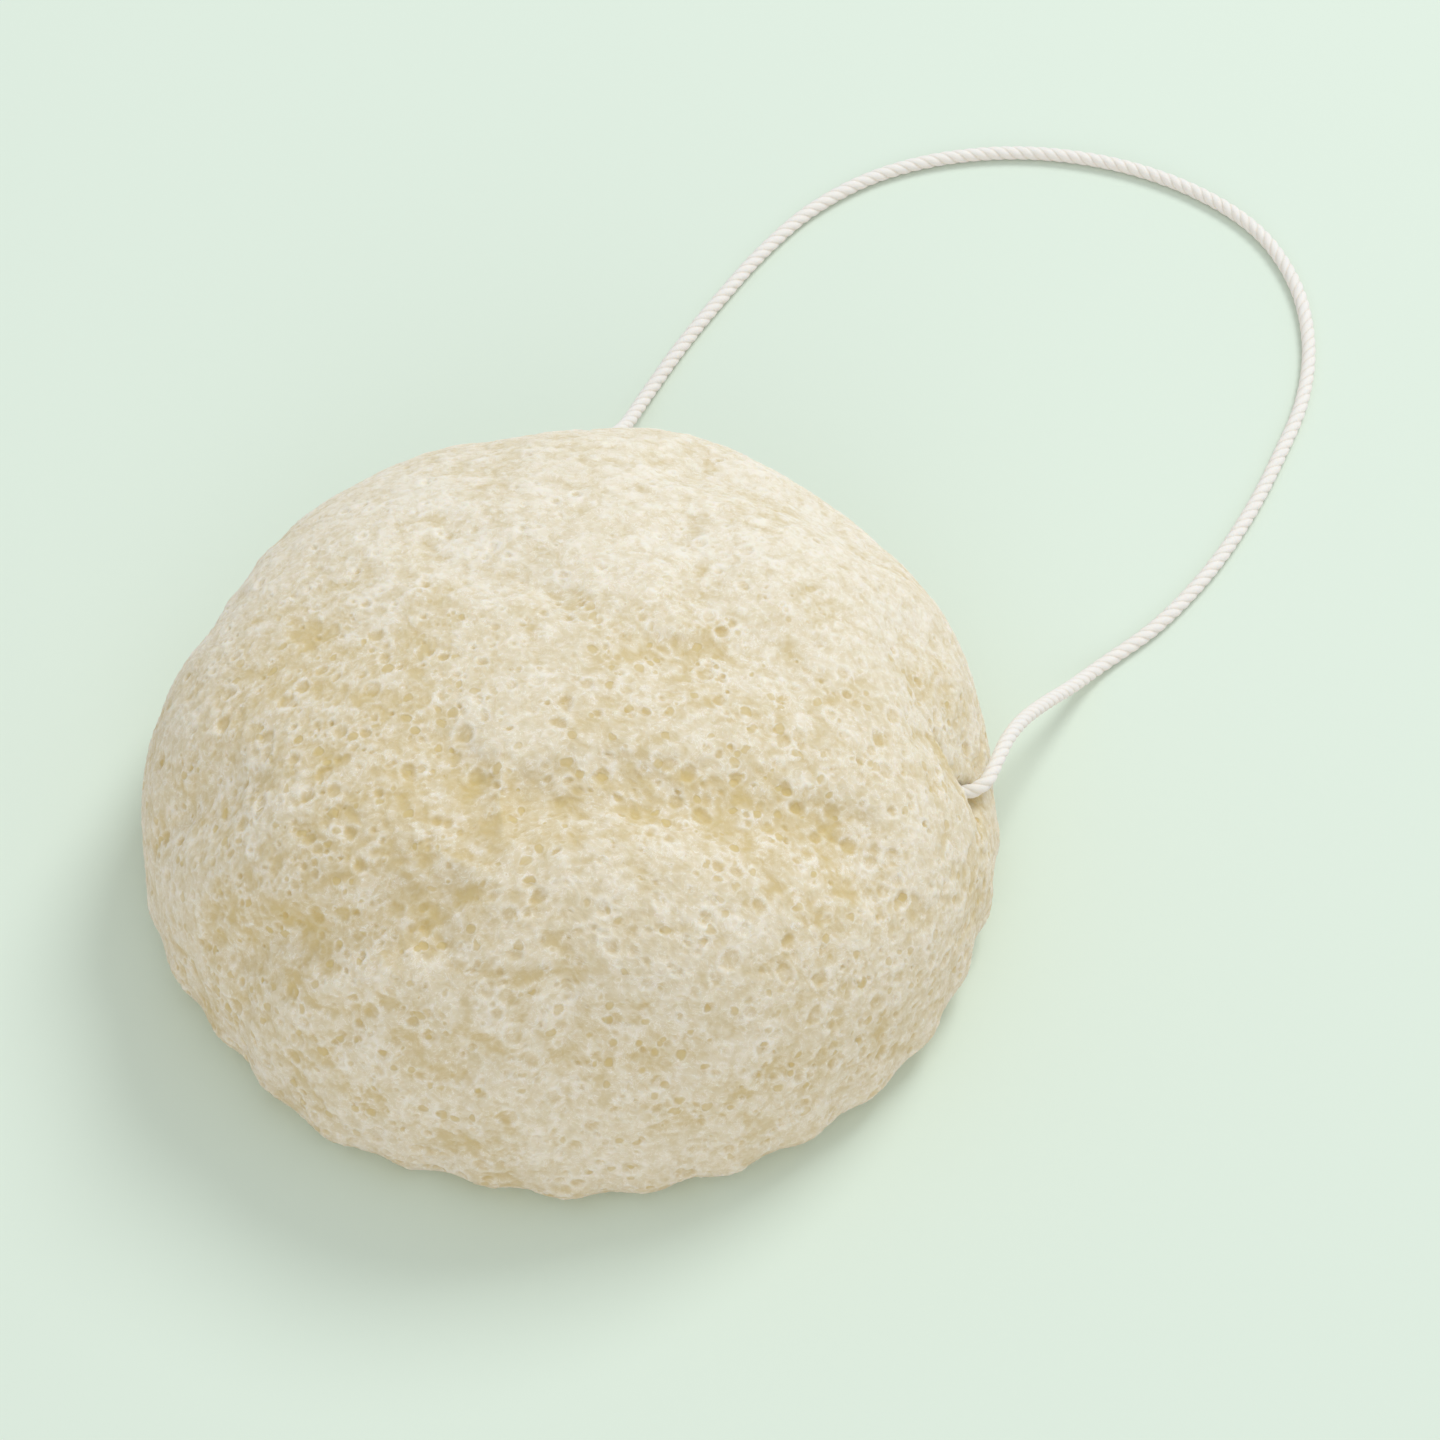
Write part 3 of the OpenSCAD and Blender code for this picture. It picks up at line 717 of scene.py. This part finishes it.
def foamSurface(places, outward, plan):
    # the height to add along the normal, how white the surface is, and its clouding, each a sum of
    # shares of hollows drawn out from side to side, bubbles with raised rims, a web of cell walls,
    # clouds, patches and fuzz. The hollows' share of the whiteness is painted shade, and the
    # clouding is random tone together with painted shade from the bubbles' depth and the hollows.
    # The smooth fields are divided by their usual height first.
    turned = np.stack([(places[:, 0] + places[:, 1]) * math.sqrt(0.5),
                       (places[:, 1] - places[:, 0]) * math.sqrt(0.5), places[:, 2]], axis=1)
    hollows = layeredField(warp(turned * plan["hollowStretch"], *plan["hollowBend"]),
                           *plan["hollowField"])
    start, full = plan["hollowLevels"]
    hollows = np.clip((-hollows + start) / full, 0, 1)
    hollows = hollows * hollows * (3 - 2 * hollows)
    drawn = turned * plan["cloudStretch"]
    for bend in plan["cloudBends"]:
        drawn = warp(drawn, *bend)
    usual = plan["usual"]
    cloud = layeredField(drawn, *plan["cloudField"]) / usual["cloud"]
    patch = layeredField(drawn, *plan["patchField"]) / usual["patch"]
    bent = warp(places, *plan["bubbleBend"])
    fine = warp(bent, *plan["fineBend"])
    fuzz = layeredField(fine, *plan["fuzzField"]) / usual["fuzz"]
    wall = bell(wallGap(fine, plan["webCell"], plan["webSeed"]), plan["webHalf"])
    depth, rim = np.zeros(len(places)), np.zeros(len(places))
    (thin, wide), (least, more) = plan["rimWidth"], plan["rimShare"]
    for layer in plan["bubbles"]:
        sunk, edge = cutBubbles(bent, -outward, layer, plan)
        depth = np.maximum(depth, sunk)
        ringed = bell(edge, thin + wide * layer["high"]) * min(1, layer["high"] * more + least)
        rim = np.maximum(rim, ringed)
    rim = np.where(depth < plan["rimOutside"], rim, 0)
    part, few = plan["height"], plan["closedHeight"]
    height = (part["cloud"] * cloud + part["patch"] * patch + part["fuzz"] * fuzz
              + part["rim"] * rim + (part["web"] * wall - part["hollow"] * hollows)
              * (few + (1 - few) * openness(places, plan)) - depth)
    # whiteness of the web, rims and fields, less painted shade in the hollows
    part, (low, lift, most) = plan["white"], plan["webPatch"]
    white = (part["base"] + part["cloud"] * cloud + part["patch"] * patch + part["fuzz"] * fuzz
             + part["rim"] * rim - part["hollow"] * hollows
             + part["wall"] * wall * np.clip(low + lift * patch, 0, most))
    # painted shade: the bubbles' depth and the hollows lower the clouding, so that they colour
    # darker and yellower
    part = plan["cloudingAndShade"]
    cloudingAndShade = (part["cloud"] * cloud + part["patch"] * patch - part["depth"] * depth
                - part["hollow"] * hollows)
    return height, white, cloudingAndShade


def makePuffMesh(plan):
    cells = plan["gridCells"]
    side = cells + 1
    ring, turn = squareToDisc(cells)
    places, dip, lumps, tan = shapedDome(ring ** plan["ringPower"], turn, plan)
    places, inMouth = openMouths(places, plan)
    outward = gridNormals(places.reshape(side, side, 3)).reshape(-1, 3)
    inward = (outward * outwardFrom(places, plan)).sum(axis=1) < 0
    outward = np.where(inward[:, None], -outward, outward)
    height, white, cloudingAndShade = foamSurface(places, outward, foamPlan)
    least, rise = plan["footCalm"]
    calm = (1 - plan["mouthCalm"] * inMouth) * np.clip(least + places[:, 2] / rise, 0, 1)
    height = height * calm
    dome = places + outward * height[:, None]
    dome[:, 2] = np.maximum(dome[:, 2], 0.0)
    # how sunk a place is: its height over its surroundings, near and wide, its clouding, and its
    # crease, lump and valley. It paints shade, darker and yellower in pits, creases and valleys and
    # lighter on lumps, with the foam's own yellow
    local, part = height.reshape(side, side), plan["recessTintAndShade"]
    small, wide = ((local - blurGrid(local, max(1, cells // share))).ravel()
                   for share in plan["blurShares"])
    recessTintAndShade = (part["base"] - small * part["small"] - wide * part["wide"] - cloudingAndShade
              + part["crease"] * dip - part["lump"] * lumps + part["tan"] * tan)
    few = plan["closedRecess"]
    recessTintAndShade = recessTintAndShade * (few + (1 - few) * openness(places, foamPlan))
    # painted shade: the valleys also take some whiteness
    white = white - plan["valleyWhite"] * tan
    print("dome shaped")

    # the flat face: the same square grid with half the cells, seen from below, and its edge is the
    # dome's foot
    half = cells // 2
    sideB = half + 1
    ringB, turnB = squareToDisc(half)
    ringB = ringB ** plan["ringPower"]
    foot = dome[ring == 1]
    footTurn, footRadius = np.arctan2(foot[:, 1], foot[:, 0]), np.hypot(foot[:, 0], foot[:, 1])
    order = np.argsort(footTurn)
    edge = np.interp(turnB, footTurn[order], footRadius[order], period=2 * math.pi)
    base = np.stack([edge * ringB * np.cos(turnB), edge * ringB * np.sin(turnB),
                     np.zeros(len(ringB))], axis=1)
    down = np.tile((0.0, 0.0, -1.0), (len(base), 1))
    heightB, whiteB, cloudingAndShadeB = foamSurface(base - (0, 0, plan["faceLevel"]), down, foamPlan)
    calmB = np.clip((1 - ringB) * plan["faceFade"], 0, 1)
    heightB = np.minimum(0, heightB - plan["faceSink"]) * calmB
    base[:, 2] = -heightB
    # the flat face's recess: painted shade in its pits, with the foam's own yellow
    level, share = plan["faceRecess"]
    recessTintAndShadeB = level - share * heightB - cloudingAndShadeB

    # the two grids share the points along the rim, where each edge of the flat face spans two of
    # the dome's and a thin triangle closes the step
    number = np.arange(side * side).reshape(side, side)
    numberB = np.arange(sideB * sideB).reshape(sideB, sideB) + side * side
    numberB[[0, -1], :] = number[[0, -1], ::2]
    numberB[:, [0, -1]] = number[::2, [0, -1]]
    quads = np.concatenate([gridQuads(number), gridQuads(numberB)[:, ::-1]])
    lines = (number[0, :], number[:, -1], number[-1, ::-1], number[::-1, 0])
    slivers = np.concatenate([np.stack([line[0:-2:2], line[1:-1:2], line[2::2]], axis=1)
                              for line in lines])

    corners = np.concatenate([dome, base])
    used = np.zeros(len(corners), bool)
    used[quads.ravel()] = True
    renumber = np.cumsum(used) - 1
    mesh = meshFromArrays("puff_foam", corners[used], renumber[quads], renumber[slivers])
    # recess: painted shade in pits, creases and valleys and lighter on lumps, with the foam's own
    # yellow
    addValue(mesh, "recessTintAndShade", np.concatenate([recessTintAndShade, recessTintAndShadeB])[used])
    # fibre: the whiteness, less painted shade in the hollows and valleys
    addValue(mesh, "fibre", np.concatenate([white, whiteB])[used])
    addValue(mesh, "opened", openness(corners, foamPlan)[used])
    # the bake's map: the dome's square on the left, the flat face's on the right
    domeUv = gridUv(cells, 0.005, 0.665)
    rimUv = np.full((len(slivers) * 3, 2), 0.002)
    faceUv = gridUv(half, 0.675, 0.995)[:, ::-1]
    addUv(mesh, "OFBake", np.concatenate([domeUv.reshape(-1, 2), faceUv.reshape(-1, 2), rimUv]))
    return mesh


def gridQuads(numbers):
    # the four corner numbers of each cell, one way round
    around = [numbers[:-1, :-1], numbers[1:, :-1], numbers[1:, 1:], numbers[:-1, 1:]]
    return np.stack(around, axis=-1).reshape(-1, 4)


def gridUv(cells, left, right, margin=0.005):
    # the corners' places of each quad of a square grid, laid between left and right
    u, v = gridPairs(np.arange(cells), np.arange(cells))
    corner = np.stack([np.stack([u, u + 1, u + 1, u], axis=1),
                       np.stack([v, v, v + 1, v + 1], axis=1)], axis=2)
    return (left, margin) + corner / cells * (right - left, 1 - 2 * margin)


foamColours = {
    "ridge": srgb(247, 242, 228),
    "body": srgb(223, 211, 178),
    "hollow": srgb(219, 202, 157),
    "floor": srgb(219, 199, 142),
    # sizes in metres: the swirl that bends the threads, the cells of the soft walls, the bump
    "swirlSize": 0.002, "swirl": 0.0022, "cell": 0.0018, "bump": 0.0001,
    # a thread's size, and its half width in the noise's own height
    "wispSize": 0.0008, "wispHalf": 0.022,
    "wisp": 0.7, "faintWisp": 0.4, "wispSpan": (0.1, 0.6),    # most on light foam
    # small pores, in metres: the cells that they are spread over, and how far the swirl bends them
    "poreCell": 0.0014, "poreBend": 0.0012,
    # which cells hold one, and its radius in shares of a cell, then its soft edge and its rim
    "poreSizes": (0.35, 1.0, -0.08, 0.42), "poreEdge": 0.14, "rimOut": 0.03, "rimHalf": 0.07,
    # poreRecess and poreShade: painted shade on a pore's floor, which deepens the recess and
    # darkens the whiteness
    "poreRecess": 0.36, "poreRim": 0.2, "poreDepth": 0.5, "poreShade": 0.65,
    "wallHalf": 0.3, "ragged": 1.0,
    # each by its strength where the foam is closed and where it is open
    "openSpan": (0.4, 1.0), "walls": (0.4, 1.0), "pores": (0.35, 1.0), "fibres": (0.95, 0.7),
    "whitening": (0.3, 0.0), "leans": (1.35, 0.6),
    "wall": 0.26,
    # recess over which the threads fade, the body turns to hollow, and that to floor: painted
    # shade, with the foam's own yellow
    "fading": (0.55, 1.05, 1.0, 0.25), "hollowSpan": (0.3, 0.8), "floorSpan": (0.7, 1.25),
    "roughness": (0.8, 0.65), "specular": 0.3,
    "glow": {"Subsurface Weight": 0.4, "Subsurface Radius": (1.0, 0.85, 0.6),
             "Subsurface Scale": 0.002},
}


def makeFoam(plan):
    material, tree = newMaterial("konjacFoam")
    place = addNode(tree, "ShaderNodeTexCoord").outputs["Object"]
    recessTintAndShade, fibre, opened = (attributeNode(tree, name) for name in ("recessTintAndShade", "fibre", "opened"))

    def byOpenness(name):
        return span(tree, opened, *plan["openSpan"], *plan[name])

    def add(first, second):
        return maths(tree, "ADD", first, second)

    def times(first, second):
        return maths(tree, "MULTIPLY", first, second)

    # a noise bent by a larger one: its middle height, folded, gives thin wandering threads
    swirl = addNode(tree, "ShaderNodeTexNoise", {
        "Vector": place, "Scale": 1 / plan["swirlSize"], "Detail": 2.0, "Roughness": 0.6})
    push = addNode(tree, "ShaderNodeVectorMath", {
        0: swirl.outputs["Color"], 1: (0.5, 0.5, 0.5)}, operation="SUBTRACT").outputs[0]
    bent, pored = (addNode(tree, "ShaderNodeVectorMath", {
        0: push, 1: (plan[reach],) * 3, 2: place}, operation="MULTIPLY_ADD").outputs[0]
        for reach in ("swirl", "poreBend"))
    wisps = addNode(tree, "ShaderNodeTexNoise", {
        "Vector": bent, "Scale": 1 / plan["wispSize"], "Detail": 3.0, "Roughness": 0.65}).outputs[0]
    lean = maths(tree, "SUBTRACT", wisps, 0.5)
    thread = span(tree, maths(tree, "ABSOLUTE", lean), 0.0, plan["wispHalf"], 1.0, 0.0)
    # soft ragged walls of small cells, fewer where the foam is closed
    cells = addNode(tree, "ShaderNodeTexVoronoi", {"Vector": bent, "Scale": 1 / plan["cell"]},
                    feature="DISTANCE_TO_EDGE")
    gap = add(cells.outputs["Distance"], times(lean, plan["ragged"]))
    wall = times(span(tree, gap, 0.0, plan["wallHalf"], plan["wall"], 0.0), byOpenness("walls"))
    # small round pores of uneven size with a thin light rim, in cells of space
    pores = addNode(tree, "ShaderNodeTexVoronoi", {"Vector": pored, "Scale": 1 / plan["poreCell"]})
    chance = addNode(tree, "ShaderNodeSeparateColor", {0: pores.outputs["Color"]}).outputs[0]
    inside = maths(tree, "SUBTRACT", span(tree, chance, *plan["poreSizes"]),
                   pores.outputs["Distance"])
    poreShare = byOpenness("pores")
    pore = times(span(tree, inside, 0.0, plan["poreEdge"]), poreShare)
    rimGap = maths(tree, "ABSOLUTE", add(inside, plan["rimOut"]))
    poreRim = times(span(tree, rimGap, 0.0, plan["rimHalf"], 1.0, 0.0), poreShare)
    # painted shade: a pore deepens the recess on its floor
    recessTintAndShade = add(recessTintAndShade, times(pore, plan["poreRecess"]))
    # the mesh's whiteness, with its painted shade in hollows and valleys, the walls and the
    # threads, less the painted shade that the pores and recesses take
    light = add(times(fibre, byOpenness("fibres")), wall)
    light = add(light, byOpenness("whitening"))
    light = add(light, times(lean, byOpenness("leans")))
    strength = span(tree, light, *plan["wispSpan"], plan["wisp"] * plan["faintWisp"], plan["wisp"])
    light = add(light, times(thread, strength))
    light = add(light, times(poreRim, plan["poreRim"]))
    # painted shade: pores and recesses darken the whiteness
    light = times(light, maths(tree, "SUBTRACT", 1.0, times(pore, plan["poreShade"])))
    light = times(light, span(tree, recessTintAndShade, *plan["fading"]))
    light = addNode(tree, "ShaderNodeClamp", {0: light}).outputs[0]
    # colour by recess, from body to hollow to floor, darker and yellower: painted shade, with the
    # foam's own yellow
    colour = mixColour(tree, span(tree, recessTintAndShade, *plan["hollowSpan"]), plan["body"], plan["hollow"])
    colour = mixColour(tree, span(tree, recessTintAndShade, *plan["floorSpan"]), colour, plan["floor"])
    colour = mixColour(tree, light, colour, plan["ridge"])
    relief = maths(tree, "SUBTRACT", wisps, times(pore, plan["poreDepth"]))
    bump = addNode(tree, "ShaderNodeBump", {
        "Height": relief, "Distance": plan["bump"], "Strength": 1.0})
    shader = addNode(tree, "ShaderNodeBsdfPrincipled", {
        "Base Color": colour, "Roughness": span(tree, light, 0.0, 1.0, *plan["roughness"]),
        "Normal": bump.outputs[0], "Specular IOR Level": plan["specular"], **plan["glow"]})
    addNode(tree, "ShaderNodeOutputMaterial", {"Surface": shader.outputs[0]})
    return material


foam = makeFoam(foamColours)
puff = placePiece("puff_foam", makePuffMesh(puffPlan), foam, "puff", "konjac_fibre", "puff")
print("puff made")

roomPlan = {
    "floor": srgb(227, 242, 229),
    "bounce": srgb(226, 222, 212),    # what the floor sends back up on to the part
    "floorHalf": 3.0,                 # metres
    "floorFinish": {"Roughness": 0.9, "Specular IOR Level": 0.1},
    "worldStrength": 0.595,
    # name, place in metres, size, watts
    "lamps": [
        ("keyLamp", (-0.1, 0.8, 0.95), 0.55, 6.0),
        ("fillLamp", (0.7, -0.75, 0.6), 0.8, 2.2),
    ],
}


def makeRoom(plan):
    half = plan["floorHalf"] / mm
    corners = [(-half, -half, 0), (half, -half, 0), (half, half, 0), (-half, half, 0)]
    mesh = meshFromArrays("floor", np.array(corners, float), np.array([[0, 1, 2, 3]]))
    floor = bpy.data.objects.new("floor", mesh)
    scene.collection.objects.link(floor)
    material, tree = newMaterial("palePaper")
    path = addNode(tree, "ShaderNodeLightPath").outputs
    seen = maths(tree, "MAXIMUM", path["Is Camera Ray"], path["Is Glossy Ray"])
    seen = maths(tree, "MAXIMUM", seen, path["Is Transmission Ray"])
    shader = addNode(tree, "ShaderNodeBsdfPrincipled", {
        "Base Color": mixColour(tree, seen, plan["bounce"], plan["floor"]), **plan["floorFinish"]})
    addNode(tree, "ShaderNodeOutputMaterial", {"Surface": shader.outputs[0]})
    mesh.materials.append(material)
    world = bpy.data.worlds.new("softRoom")
    world.use_nodes = True
    scene.world = world
    world.node_tree.nodes.clear()
    back = addNode(world.node_tree, "ShaderNodeBackground", {
        "Color": (1, 1, 1, 1), "Strength": plan["worldStrength"]})
    addNode(world.node_tree, "ShaderNodeOutputWorld", {"Surface": back.outputs[0]})
    for name, place, size, watts in plan["lamps"]:
        data = bpy.data.lights.new(name, "AREA")
        data.shape, data.size, data.energy = "DISK", size, watts
        lamp = bpy.data.objects.new(name, data)
        scene.collection.objects.link(lamp)
        lamp.location = place
        lamp.rotation_euler = Vector(place).to_track_quat("Z", "Y").to_euler()


makeRoom(roomPlan)
scene.view_settings.view_transform = "Standard"
print("floor and light set")
